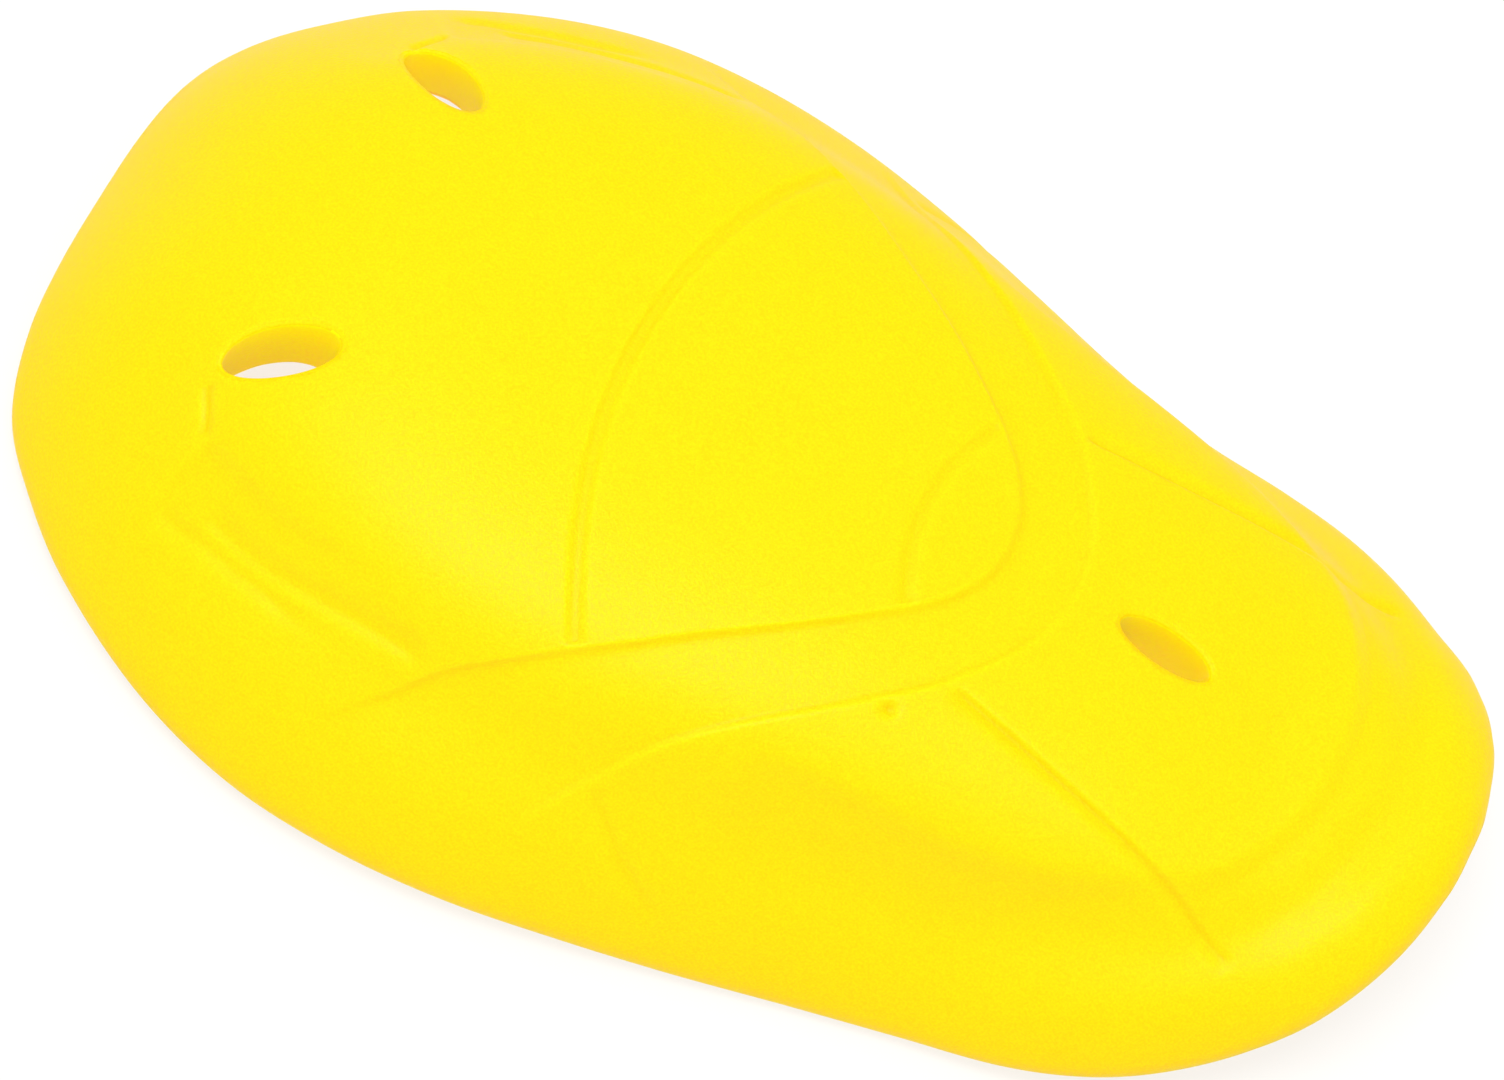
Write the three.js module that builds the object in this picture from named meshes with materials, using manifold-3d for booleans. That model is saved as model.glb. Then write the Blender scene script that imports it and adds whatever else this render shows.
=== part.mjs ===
// Soft moulded shoulder protector, one piece of foam, worn under a jacket.
// Millimetres, +X along the pad from the wide end to the narrow end, +Y across it, +Z up.
// The pad rests on its own rim, hollow side down, and the floor is at z = 0.

import * as THREE from "three";
import Module from "manifold-3d";
import { mergeVertices } from "three/addons/utils/BufferGeometryUtils.js";

// Overall sizes
const LENGTH = 212;
const WIDTH = 141;
const HEIGHT = 47;
const WALL = 10.5;

// Relief sizes
const VALLEY_DEPTH = 4.2;
const VALLEY_WIDTH = 0.12;
const CHANNEL_DEPTH = 1.1;
const GROOVE_DEPTH = 0.7;
const GROOVE_WIDTH = 1.8;
const CREASE_DEPTH = 1.1;
const CREASE_WIDTH = 3;
const SLOT_LENGTH = 15.5;
const SLOT_WIDTH = 7;
const SLOT_LEAD_IN = 1.2;

// Channels, grooves and creases run out towards the rim between these shares of the way out
const FADE_FROM = 0.78;
const FADE_TO = 0.95;

// Half sizes of the rim's centre line, which the tables below take their shares of
const HALF_LENGTH = (LENGTH - WALL) / 2;
const HALF_WIDTH = (WIDTH - WALL) / 2;
const RIM_RADIUS = WALL / 2;

// Rim from the wide end round one side to the narrow end.
// x and from: share of HALF_LENGTH, y: share of HALF_WIDTH, lift: share of HEIGHT above RIM_RADIUS.
// from is where the cross-section through that rim point leaves the spine.
// valleyAt: share of the way from the spine to the rim, valley: share of VALLEY_DEPTH.
const RIM_ROWS = [
  { x: -0.995, y: 0.0, lift: 0.1, from: -0.3, valleyAt: 0.84, valley: 0.0 },
  { x: -0.993, y: 0.185, lift: 0.09, from: -0.3, valleyAt: 0.84, valley: 0.0 },
  { x: -0.983, y: 0.337, lift: 0.05, from: -0.3, valleyAt: 0.84, valley: 0.05 },
  { x: -0.953, y: 0.483, lift: 0.0, from: -0.3, valleyAt: 0.84, valley: 0.2 },
  { x: -0.893, y: 0.604, lift: 0.007, from: -0.3, valleyAt: 0.84, valley: 0.45 },
  { x: -0.794, y: 0.746, lift: 0.018, from: -0.3, valleyAt: 0.83, valley: 0.68 },
  { x: -0.635, y: 0.89, lift: 0.016, from: -0.28, valleyAt: 0.82, valley: 0.86 },
  { x: -0.476, y: 0.972, lift: 0.022, from: -0.24, valleyAt: 0.82, valley: 0.93 },
  { x: -0.318, y: 0.996, lift: 0.033, from: -0.18, valleyAt: 0.83, valley: 0.95 },
  { x: -0.159, y: 0.981, lift: 0.039, from: -0.08, valleyAt: 0.84, valley: 0.98 },
  { x: 0.0, y: 0.933, lift: 0.031, from: 0.04, valleyAt: 0.84, valley: 1.0 },
  { x: 0.159, y: 0.872, lift: 0.012, from: 0.17, valleyAt: 0.84, valley: 1.0 },
  { x: 0.318, y: 0.806, lift: 0.004, from: 0.31, valleyAt: 0.84, valley: 1.0 },
  { x: 0.476, y: 0.748, lift: 0.014, from: 0.45, valleyAt: 0.84, valley: 0.97 },
  { x: 0.615, y: 0.702, lift: 0.046, from: 0.57, valleyAt: 0.82, valley: 0.9 },
  { x: 0.715, y: 0.653, lift: 0.1, from: 0.65, valleyAt: 0.8, valley: 0.75 },
  { x: 0.794, y: 0.588, lift: 0.16, from: 0.69, valleyAt: 0.78, valley: 0.65 },
  { x: 0.873, y: 0.493, lift: 0.24, from: 0.71, valleyAt: 0.76, valley: 0.55 },
  { x: 0.933, y: 0.395, lift: 0.345, from: 0.715, valleyAt: 0.74, valley: 0.5 },
  { x: 0.979, y: 0.253, lift: 0.455, from: 0.715, valleyAt: 0.72, valley: 0.48 },
  { x: 1.002, y: 0.09, lift: 0.51, from: 0.715, valleyAt: 0.72, valley: 0.48 },
  { x: 1.004, y: 0.0, lift: 0.52, from: 0.715, valleyAt: 0.72, valley: 0.48 },
];

// Outer skin along the spine. x: share of HALF_LENGTH, z: share of HEIGHT.
const CROWN_ROWS = [
  { x: -0.3, z: 0.995 },
  { x: -0.08, z: 0.995 },
  { x: 0.17, z: 0.98 },
  { x: 0.31, z: 0.945 },
  { x: 0.45, z: 0.905 },
  { x: 0.57, z: 0.865 },
  { x: 0.66, z: 0.82 },
  { x: 0.715, z: 0.79 },
];

// Cross-section, a flattened arch. ARCH_POWER squares its shoulders, ARCH_REACH is how far down it goes.
const ARCH_POWER = 3.4;
const ARCH_REACH = 0.93;

// Rings from the spine to the rim: share of the way out
const OUTER_RINGS = [0, 0.1, 0.22, 0.34, 0.45, 0.54, 0.61, 0.67, 0.72, 0.77, 0.82, 0.87, 0.92, 0.96, 1];
const INNER_RINGS = [1, 0.94, 0.86, 0.76, 0.64, 0.48, 0.3, 0.14, 0];
const RIM_STEPS = 6;

// No edge and no triangle is finer than this
const FINEST = 0.1;
const SPOKES_PER_ROW_GAP = 3;

// Raised tongue and the channel round it, each a wedge with a round nose, seen from above.
// apex and reach: share of HALF_LENGTH, slope: rise across per mm along, nose: radius as share of HALF_WIDTH.
const TONGUE = { apex: 0.45, slope: 0.7, nose: 0.32 };
const CHANNEL = { apex: 0.585, slope: 0.84, nose: 0.486 };
const WEDGE_REACH = 0.9;

// Arc grooves across the tongue. middle: centre, radius: both shares of HALF_LENGTH, spread: half angle in degrees.
const ARC_GROOVES = [
  { middle: 0.5, radius: 0.79, spread: 33.5 },
  { middle: 0.5, radius: 0.33, spread: 31 },
];

// Straight grooves along the plateau's sides. x: share of HALF_LENGTH, y: share of HALF_WIDTH.
const SIDE_GROOVE = [
  { x: 0.31, y: 0.365 },
  { x: 0.41, y: 0.387 },
  { x: 0.51, y: 0.413 },
  { x: 0.61, y: 0.438 },
  { x: 0.71, y: 0.466 },
  { x: 0.81, y: 0.505 },
];

// Creases beside the tongue at the wide end. x: share of HALF_LENGTH, y: share of HALF_WIDTH.
const CREASES = [
  [
    { x: -0.76, y: 0.475 },
    { x: -0.752, y: 0.51 },
    { x: -0.727, y: 0.579 },
    { x: -0.66, y: 0.626 },
    { x: -0.56, y: 0.675 },
    { x: -0.466, y: 0.705 },
    { x: -0.386, y: 0.718 },
    { x: -0.306, y: 0.728 },
  ],
  [
    { x: -0.72, y: 0.71 },
    { x: -0.665, y: 0.735 },
    { x: -0.583, y: 0.764 },
    { x: -0.497, y: 0.785 },
    { x: -0.4, y: 0.797 },
    { x: -0.305, y: 0.81 },
  ],
];

// Slots through the pad. x: share of HALF_LENGTH, y: share of HALF_WIDTH, turn in degrees, long and wide: share of
// SLOT_LENGTH and SLOT_WIDTH.
const SLOTS = [
  { x: -0.689, y: 0.385, turn: -27, long: 1.0, wide: 1.0 },
  { x: -0.689, y: -0.385, turn: 27, long: 1.0, wide: 1.0 },
  { x: 0.55, y: 0.0, turn: 0, long: 1.0, wide: 0.8 },
];

// A smooth curve through table rows, with the speed at each row taken from its neighbours
function curveThrough(rows, keys) {
  const distance = [0];
  for (let i = 1; i < rows.length; i += 1) {
    const step = Math.hypot(rows[i].x - rows[i - 1].x, rows[i].y - rows[i - 1].y);
    distance.push(distance[i - 1] + step);
  }
  const speed = (i, key) => {
    const a = Math.max(i - 1, 0);
    const b = Math.min(i + 1, rows.length - 1);
    return (rows[b][key] - rows[a][key]) / (distance[b] - distance[a]);
  };
  return (i, t) => {
    const gap = distance[i + 1] - distance[i];
    const point = {};
    for (const key of keys) {
      const start = (2 * t ** 3 - 3 * t ** 2 + 1) * rows[i][key];
      const leave = (t ** 3 - 2 * t ** 2 + t) * gap * speed(i, key);
      const end = (3 * t ** 2 - 2 * t ** 3) * rows[i + 1][key];
      const arrive = (t ** 3 - t ** 2) * gap * speed(i + 1, key);
      point[key] = start + leave + end + arrive;
    }
    return point;
  };
}

// Height of the outer skin on the spine at x
function crownHeight(x) {
  const share = x / HALF_LENGTH;
  const last = CROWN_ROWS.length - 1;
  if (share <= CROWN_ROWS[0].x) return CROWN_ROWS[0].z * HEIGHT;
  if (share >= CROWN_ROWS[last].x) return CROWN_ROWS[last].z * HEIGHT;
  const i = CROWN_ROWS.findIndex((row) => row.x > share) - 1;
  const t = (share - CROWN_ROWS[i].x) / (CROWN_ROWS[i + 1].x - CROWN_ROWS[i].x);
  return (CROWN_ROWS[i].z + t * (CROWN_ROWS[i + 1].z - CROWN_ROWS[i].z)) * HEIGHT;
}

// Height of the arch at a share of the way out: 1 on the spine, 0 at the rim
function arch(share) {
  const raw = (u) => Math.sqrt(1 - u ** ARCH_POWER);
  return (raw(share * ARCH_REACH) - raw(ARCH_REACH)) / (1 - raw(ARCH_REACH));
}

// All spokes of the pad, from the wide end round the +Y side to the narrow end and back along the -Y side
function makeSpokes() {
  const mirror = (row) => ({ ...row, y: -row.y });
  const last = RIM_ROWS.length - 1;
  const rows = [mirror(RIM_ROWS[1]), ...RIM_ROWS, mirror(RIM_ROWS[last - 1])];
  const sized = rows.map((row) => ({
    x: row.x * HALF_LENGTH,
    y: row.y * HALF_WIDTH,
    z: RIM_RADIUS + row.lift * HEIGHT,
    from: row.from * HALF_LENGTH,
    valleyAt: row.valleyAt,
    valley: row.valley * VALLEY_DEPTH,
  }));
  const keys = ["x", "y", "z", "from", "valleyAt", "valley"];
  const at = curveThrough(sized, keys);
  const side = [];
  for (let i = 1; i < sized.length - 2; i += 1) {
    for (let k = 0; k < SPOKES_PER_ROW_GAP; k += 1) side.push(at(i, k / SPOKES_PER_ROW_GAP));
  }
  side.push({ ...sized[sized.length - 2] });
  const back = side.slice(1, -1).reverse().map(mirror);
  return [...side, ...back];
}

// Point of the pad's middle layer on a spoke
function middlePoint(spoke, share) {
  const top = crownHeight(spoke.from) - RIM_RADIUS;
  const x = spoke.from + (spoke.x - spoke.from) * share;
  const z = spoke.z + (top - spoke.z) * arch(share);
  return new THREE.Vector3(x, spoke.y * share, z);
}

// Direction out of the pad at a point of the middle layer
function outward(spokes, j, share) {
  const count = spokes.length;
  const step = 0.004;
  const before = Math.max(share - step, 0.02);
  const after = Math.min(Math.max(share + step, 0.06), 1);
  const along = middlePoint(spokes[j], after).sub(middlePoint(spokes[j], before));
  const a = spokes[(j + count - 1) % count];
  const b = spokes[(j + 1) % count];
  const reach = Math.max(share, 0.06);
  const round = middlePoint(b, reach).sub(middlePoint(a, reach));
  const normal = new THREE.Vector3().crossVectors(round, along).normalize();
  if (share < 0.06) normal.y *= share / 0.06;
  return normal.normalize();
}

// Depth of the valley that runs inside the rim
function valleyDepth(spoke, share) {
  return spoke.valley * Math.exp(-(((share - spoke.valleyAt) / VALLEY_WIDTH) ** 2));
}

// Outer skin at a share of the way out, sunk by extra mm
function outerPoint(spokes, j, share, extra) {
  const normal = outward(spokes, j, share);
  const lift = RIM_RADIUS - valleyDepth(spokes[j], share) - extra;
  return middlePoint(spokes[j], share).addScaledVector(normal, lift);
}

// Inner skin, which leaves the valley out
function innerPoint(spokes, j, share) {
  return middlePoint(spokes[j], share).addScaledVector(outward(spokes, j, share), -RIM_RADIUS);
}

// Round rim from the outer skin to the inner one
function rimPoint(spokes, j, angle) {
  const count = spokes.length;
  const centre = middlePoint(spokes[j], 1);
  const normal = outward(spokes, j, 1);
  const round = middlePoint(spokes[(j + 1) % count], 1).sub(middlePoint(spokes[(j + count - 1) % count], 1));
  const out = new THREE.Vector3().crossVectors(normal, round).normalize();
  const outerReach = RIM_RADIUS - valleyDepth(spokes[j], 1) * Math.max(Math.cos(angle), 0);
  return centre.addScaledVector(normal, outerReach * Math.cos(angle)).addScaledVector(out, RIM_RADIUS * Math.sin(angle));
}

// Closed solid from loops of points, the first and last loop being the two sides of the spine
function solidFromLoops(loops, wasm) {
  const count = loops[0].length;
  const positions = [];
  for (const loop of loops) for (const p of loop) positions.push(p.x, p.y, p.z);
  const index = [];
  for (let i = 0; i + 1 < loops.length; i += 1) {
    for (let j = 0; j < count; j += 1) {
      const k = (j + 1) % count;
      const a = i * count + j;
      const b = i * count + k;
      const c = (i + 1) * count + j;
      const d = (i + 1) * count + k;
      index.push(a, b, c, b, d, c);
    }
  }
  return toManifold(positions, index, wasm);
}

// Manifold from raw points, with equal points joined and empty triangles left out
function toManifold(positions, index, wasm) {
  const raw = new THREE.BufferGeometry();
  raw.setAttribute("position", new THREE.Float32BufferAttribute(positions, 3));
  raw.setIndex(index);
  const joined = mergeVertices(raw, 1e-4);
  const source = joined.index.array;
  const kept = [];
  for (let i = 0; i < source.length; i += 3) {
    const [a, b, c] = [source[i], source[i + 1], source[i + 2]];
    if (a !== b && b !== c && a !== c) kept.push(a, b, c);
  }
  const mesh = new wasm.Mesh({
    numProp: 3,
    vertProperties: new Float32Array(joined.attributes.position.array),
    triVerts: new Uint32Array(kept),
  });
  return new wasm.Manifold(mesh);
}

// The plain pad: outer skin, round rim, inner skin
function makeShell(spokes, wasm) {
  const loops = OUTER_RINGS.map((share) => spokes.map((_, j) => outerPoint(spokes, j, share, 0)));
  for (let k = 1; k < RIM_STEPS; k += 1) {
    const angle = (Math.PI * k) / RIM_STEPS;
    loops.push(spokes.map((_, j) => rimPoint(spokes, j, angle)));
  }
  for (const share of INNER_RINGS) loops.push(spokes.map((_, j) => innerPoint(spokes, j, share)));
  return solidFromLoops(loops, wasm);
}

// A layer that follows the outer skin, from depth below it to well above it, and leaves the skin near the rim
function makeLayer(spokes, depth, wasm) {
  const clear = 3;
  const beyond = 0.3;
  const rings = OUTER_RINGS.filter((share) => share < 0.97);
  const sunk = (share) => depth - (depth + beyond) * THREE.MathUtils.smoothstep(share, FADE_FROM, FADE_TO);
  const loop = (share, extra) => spokes.map((_, j) => outerPoint(spokes, j, share, extra));
  const above = rings.map((share) => loop(share, -clear));
  const below = [...rings].reverse().map((share) => loop(share, sunk(share)));
  return solidFromLoops([...above, ...below], wasm);
}

// Upright prism with the given outline of [x, y] pairs
function makePrism(outline, wasm) {
  const shape = new THREE.Shape(outline.map(([x, y]) => new THREE.Vector2(x, y)));
  const prism = new THREE.ExtrudeGeometry(shape, { depth: 2 * HEIGHT, bevelEnabled: false });
  prism.translate(0, 0, -HEIGHT / 2);
  const bare = prism.index ? prism.toNonIndexed() : prism;
  const positions = Array.from(bare.attributes.position.array);
  return toManifold(positions, positions.slice(0, positions.length / 3).map((_, i) => i), wasm);
}

// Outline of a wedge with a round nose, opening towards the wide end
function wedgeOutline({ apex, slope, nose }, reach) {
  const radius = nose * HALF_WIDTH;
  const half = Math.atan(slope);
  const tip = apex * HALF_LENGTH;
  const middle = tip - radius / Math.sin(half);
  const far = -reach * HALF_LENGTH;
  const outline = [[far, -slope * (tip - far)]];
  const steps = 14;
  for (let k = 0; k <= steps; k += 1) {
    const angle = (half - Math.PI / 2) * (1 - (2 * k) / steps);
    outline.push([middle + radius * Math.cos(angle), radius * Math.sin(angle)]);
  }
  outline.push([far, slope * (tip - far)]);
  return outline;
}

// Outline of a band of the given width that runs along a line of [x, y] pairs and narrows at both ends
function bandOutline(line, width) {
  const left = [];
  const right = [];
  line.forEach(([x, y], i) => {
    const [ax, ay] = line[Math.max(i - 1, 0)];
    const [bx, by] = line[Math.min(i + 1, line.length - 1)];
    const length = Math.hypot(bx - ax, by - ay);
    const share = i === 0 || i === line.length - 1 ? 0.35 : 1;
    const [nx, ny] = [(-(by - ay) / length) * (width / 2) * share, ((bx - ax) / length) * (width / 2) * share];
    left.push([x + nx, y + ny]);
    right.push([x - nx, y - ny]);
  });
  return [...right, ...left.reverse()];
}

// Table rows as [x, y] pairs in mm on the +Y side (side 1) or the -Y side (side -1)
function sized(rows, side) {
  return rows.map((row) => [row.x * HALF_LENGTH, side * row.y * HALF_WIDTH]);
}

// Line of an arc groove across the tongue
function arcLine({ middle, radius, spread }) {
  const steps = 12;
  const line = [];
  for (let k = 0; k <= steps; k += 1) {
    const angle = Math.PI + THREE.MathUtils.degToRad(spread * ((2 * k) / steps - 1));
    const x = middle * HALF_LENGTH + radius * HALF_LENGTH * Math.cos(angle);
    line.push([x, radius * HALF_LENGTH * Math.sin(angle)]);
  }
  return line;
}

// Outline of a slot, an oval with flattened sides
function slotOutline({ x, y, turn, long, wide }, extra) {
  const steps = 20;
  const angle = THREE.MathUtils.degToRad(turn);
  const outline = [];
  for (let k = 0; k < steps; k += 1) {
    const t = (2 * Math.PI * k) / steps;
    const a = (SLOT_LENGTH * long * 0.5 + extra) * Math.cos(t);
    const b = (SLOT_WIDTH * wide * 0.5 + extra) * Math.sin(t);
    const px = x * HALF_LENGTH + a * Math.cos(angle) - b * Math.sin(angle);
    outline.push([px, y * HALF_WIDTH + a * Math.sin(angle) + b * Math.cos(angle)]);
  }
  return outline;
}

const wasm = await Module();
wasm.setup();

const spokes = makeSpokes();
let pad = makeShell(spokes, wasm);

// Channel round the tongue
const channelRegion = makePrism(wedgeOutline(CHANNEL, WEDGE_REACH), wasm)
  .subtract(makePrism(wedgeOutline(TONGUE, WEDGE_REACH + 0.1), wasm));
pad = pad.subtract(channelRegion.intersect(makeLayer(spokes, CHANNEL_DEPTH, wasm)));

// Grooves and creases
const grooveLayer = makeLayer(spokes, GROOVE_DEPTH, wasm);
const creaseLayer = makeLayer(spokes, CREASE_DEPTH, wasm);
for (const arc of ARC_GROOVES) {
  pad = pad.subtract(makePrism(bandOutline(arcLine(arc), GROOVE_WIDTH), wasm).intersect(grooveLayer));
}
for (const side of [1, -1]) {
  const groove = bandOutline(sized(SIDE_GROOVE, side), GROOVE_WIDTH);
  pad = pad.subtract(makePrism(groove, wasm).intersect(grooveLayer));
  for (const crease of CREASES) {
    pad = pad.subtract(makePrism(bandOutline(sized(crease, side), CREASE_WIDTH), wasm).intersect(creaseLayer));
  }
}

// Slots, with a wider mouth in the outer skin
const mouthLayer = makeLayer(spokes, SLOT_LEAD_IN, wasm);
for (const slot of SLOTS) {
  pad = pad.subtract(makePrism(slotOutline(slot, 0), wasm));
  pad = pad.subtract(makePrism(slotOutline(slot, SLOT_LEAD_IN / 2), wasm).intersect(mouthLayer));
}

// The triangles that meet at each point
function trianglesByPoint(triangles, count) {
  const around = Array.from({ length: count }, () => new Set());
  triangles.forEach((triangle, t) => {
    if (triangle) triangle.forEach((v) => around[v].add(t));
  });
  return around;
}

// Points joined to v by an edge
function neighboursOf(v, triangles, around) {
  const found = new Set();
  for (const t of around[v]) triangles[t].forEach((w) => found.add(w));
  found.delete(v);
  return found;
}

// Join the ends of each edge shorter than FINEST, where the surface stays closed
function joinShortEdges(points, triangles) {
  const around = trianglesByPoint(triangles, points.length);
  let joins = 0;
  for (let t = 0; t < triangles.length; t += 1) {
    for (let k = 0; triangles[t] && k < 3; k += 1) {
      const a = triangles[t][k];
      const b = triangles[t][(k + 1) % 3];
      if (points[a].distanceTo(points[b]) >= FINEST) continue;
      const near = neighboursOf(a, triangles, around);
      const shared = [...neighboursOf(b, triangles, around)].filter((v) => near.has(v));
      if (shared.length !== 2) continue;
      for (const u of [...around[b]]) {
        if (triangles[u].includes(a)) {
          triangles[u].forEach((v) => around[v].delete(u));
          triangles[u] = null;
        } else {
          triangles[u] = triangles[u].map((v) => (v === b ? a : v));
          around[a].add(u);
        }
      }
      around[b].clear();
      joins += 1;
    }
  }
  return joins;
}

// Turn the long edge of each triangle that is flatter than FINEST, so that no sliver is left
function turnSlivers(points, triangles) {
  const around = trianglesByPoint(triangles, points.length);
  let turns = 0;
  for (let t = 0; t < triangles.length; t += 1) {
    if (!triangles[t]) continue;
    const lengths = triangles[t].map((v, k) => points[v].distanceTo(points[triangles[t][(k + 1) % 3]]));
    const k = lengths.indexOf(Math.max(...lengths));
    const a = triangles[t][k];
    const b = triangles[t][(k + 1) % 3];
    const c = triangles[t][(k + 2) % 3];
    const [pa, pb, pc] = [points[a], points[b], points[c]];
    const area = new THREE.Triangle(pa, pb, pc).getArea();
    if ((2 * area) / lengths[k] >= FINEST) continue;
    const other = [...around[a]].find((u) => u !== t && triangles[u].includes(b));
    if (other === undefined) continue;
    const d = triangles[other].find((v) => v !== a && v !== b);
    if (neighboursOf(c, triangles, around).has(d)) continue;
    const across = new THREE.Triangle(pa, points[d], pb).getNormal(new THREE.Vector3());
    const first = new THREE.Triangle(pa, points[d], pc);
    const second = new THREE.Triangle(points[d], pb, pc);
    const shapes = [first, second];
    if (shapes.some((shape) => shape.getNormal(new THREE.Vector3()).dot(across) < 0.5)) continue;
    triangles[t] = [a, d, c];
    triangles[other] = [d, b, c];
    around[b].delete(t);
    around[a].delete(other);
    around[d].add(t);
    around[c].add(other);
    turns += 1;
  }
  return turns;
}

// Points and triangles of a solid without the slivers that cuts leave
function tidyTriangles(solid) {
  const { vertProperties, triVerts } = solid.getMesh();
  const points = [];
  for (let i = 0; i < vertProperties.length; i += 3) {
    points.push(new THREE.Vector3(vertProperties[i], vertProperties[i + 1], vertProperties[i + 2]));
  }
  let triangles = [];
  for (let i = 0; i < triVerts.length; i += 3) triangles.push([triVerts[i], triVerts[i + 1], triVerts[i + 2]]);
  for (let pass = 0; pass < 20; pass += 1) {
    const changes = joinShortEdges(points, triangles) + turnSlivers(points, triangles);
    triangles = triangles.filter(Boolean);
    if (!changes) break;
  }
  return { points, triangles };
}

// Back to a mesh
function toMesh(solid, name, material) {
  const { points, triangles } = tidyTriangles(solid);
  const geometry = new THREE.BufferGeometry().setFromPoints(points);
  geometry.setIndex(triangles.flat());
  geometry.computeBoundingBox();
  const { min, max } = geometry.boundingBox;
  geometry.translate(-(min.x + max.x) / 2, 0, -min.z);
  const flat = geometry.toNonIndexed();
  flat.computeVertexNormals();
  const mesh = new THREE.Mesh(flat, material);
  mesh.name = name;
  return mesh;
}

const foam = new THREE.MeshStandardMaterial({ color: 0xffe600, roughness: 0.55, metalness: 0 });
const root = new THREE.Group();
root.name = "shoulder_protector";
root.add(toMesh(pad, "shoulder_pad", foam));

export default root;
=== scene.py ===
"""Looks for a soft moulded foam shoulder protector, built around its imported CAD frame.

Metres, +X along the pad from the wide end to the narrow end, +Y across it, +Z up.
Sizes of the pad are in millimetres and turn into metres when its mesh is made. Those of the studio,
the camera and the finishes are in metres.
"""

import logging
import math
from dataclasses import dataclass, field
from enum import Enum

import bmesh  # noqa: E402
import bpy  # noqa: E402
import numpy as np  # noqa: E402
from mathutils import Matrix, Vector  # noqa: E402
from mathutils.bvhtree import BVHTree  # noqa: E402

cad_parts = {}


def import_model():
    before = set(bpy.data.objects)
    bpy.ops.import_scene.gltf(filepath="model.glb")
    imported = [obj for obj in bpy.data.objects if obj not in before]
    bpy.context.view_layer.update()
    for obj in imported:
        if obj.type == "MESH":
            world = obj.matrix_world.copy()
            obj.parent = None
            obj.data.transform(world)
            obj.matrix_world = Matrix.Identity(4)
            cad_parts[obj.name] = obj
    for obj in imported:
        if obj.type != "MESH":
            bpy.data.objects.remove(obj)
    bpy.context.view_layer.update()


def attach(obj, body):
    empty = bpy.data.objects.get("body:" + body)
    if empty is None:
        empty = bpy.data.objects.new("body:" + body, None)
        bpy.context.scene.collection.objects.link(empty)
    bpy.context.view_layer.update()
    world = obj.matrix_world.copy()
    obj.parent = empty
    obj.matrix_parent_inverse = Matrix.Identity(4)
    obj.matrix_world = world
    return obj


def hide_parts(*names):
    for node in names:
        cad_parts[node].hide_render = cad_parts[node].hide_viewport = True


log = logging.getLogger("shoulder_pad")

MM = 0.001
# A shorter direction is divided by this length
SHORTEST = 1e-12


class Skin(Enum):
    """The two skins of the pad."""

    OUTER = "outer"
    INNER = "inner"


@dataclass(frozen=True)
class RimRow:
    """One row of the rim's table.

    Attributes:
        x: Place along the pad, as a share of the half length of the rim's centre line.
        y: Place across it, as a share of the half width of the rim's centre line.
        lift: Height above the lowest rim, as a share of the pad's height.
        start: Where the cross-section leaves the spine, as a share of the half length.
        valley_at: Place of the valley, as a share of the way from the spine to the rim.
        valley: Depth of the valley, as a share of the full one.
    """

    x: float
    y: float
    lift: float
    start: float
    valley_at: float
    valley: float


@dataclass(frozen=True)
class CrownRow:
    """One row of the crown's table.

    Attributes:
        x: Place on the spine, as a share of the half length of the rim's centre line.
        top: Height of the outer skin there, as a share of the pad's height.
    """

    x: float
    top: float


@dataclass(frozen=True)
class Spot:
    """A point of a line on the pad, seen from above.

    Attributes:
        x: Share of the half length of the rim's centre line.
        y: Share of the half width of the rim's centre line.
    """

    x: float
    y: float


@dataclass(frozen=True)
class ArcGroove:
    """A flat shallow groove along an arc across the tongue.

    Attributes:
        middle: The arc's centre on the axis, as a share of the half length.
        radius: The arc's radius, as a share of the half length.
        width: Width of the groove in mm.
        depth: Depth of the groove in mm.
    """

    middle: float
    radius: float
    width: float
    depth: float


@dataclass(frozen=True)
class Crease:
    """A line pressed into the foam on both sides of the axis.

    Attributes:
        spots: The points that the line runs through.
        inner: Width of the groove on the side of the axis, in mm.
        outer: Width of the groove on the side of the rim, in mm.
        depth: Depth in mm.
        step: How much the foam beyond the line lies lower, in mm.
        fade_in: Share of the line over which it starts.
        fade_out: Share of the line over which it ends.
    """

    spots: tuple[Spot, ...]
    inner: float
    outer: float
    depth: float
    step: float = 0.0
    fade_in: float = 0.12
    fade_out: float = 0.12


@dataclass(frozen=True)
class Dimple:
    """A round hollow in the skin.

    Attributes:
        spot: Its middle.
        radius: Radius in mm.
        depth: Depth in mm.
        both_sides: Whether it is there on both sides of the axis.
    """

    spot: Spot
    radius: float
    depth: float
    both_sides: bool = True


@dataclass(frozen=True)
class Slot:
    """An oval slot through the pad.

    Attributes:
        x: Share of the half length.
        y: Share of the half width.
        turn: Angle of its long axis in degrees.
        length: Length in mm.
        width: Width in mm.
        lean: How much farther from the axis it lies at the inner skin, in mm.
        inner_lip: Radius of its lip at the inner skin, in mm.
    """

    x: float
    y: float
    turn: float
    length: float
    width: float
    lean: float = 0.0
    inner_lip: float = 1.5


def smooth(value: np.ndarray, low: float, high: float) -> np.ndarray:
    """A smooth rise from 0 at low to 1 at high.

    Args:
        value: Where to read it.
        low: End of the flat part at 0.
        high: Start of the flat part at 1.

    Returns:
        The height of the rise at each value.
    """
    t = np.clip((value - low) / (high - low), 0.0, 1.0)
    return t * t * (3.0 - 2.0 * t)


def unit(vectors: np.ndarray) -> np.ndarray:
    """Vectors of length one in the same directions."""
    return vectors / np.maximum(np.linalg.norm(vectors, axis=-1, keepdims=True), SHORTEST)


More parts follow.
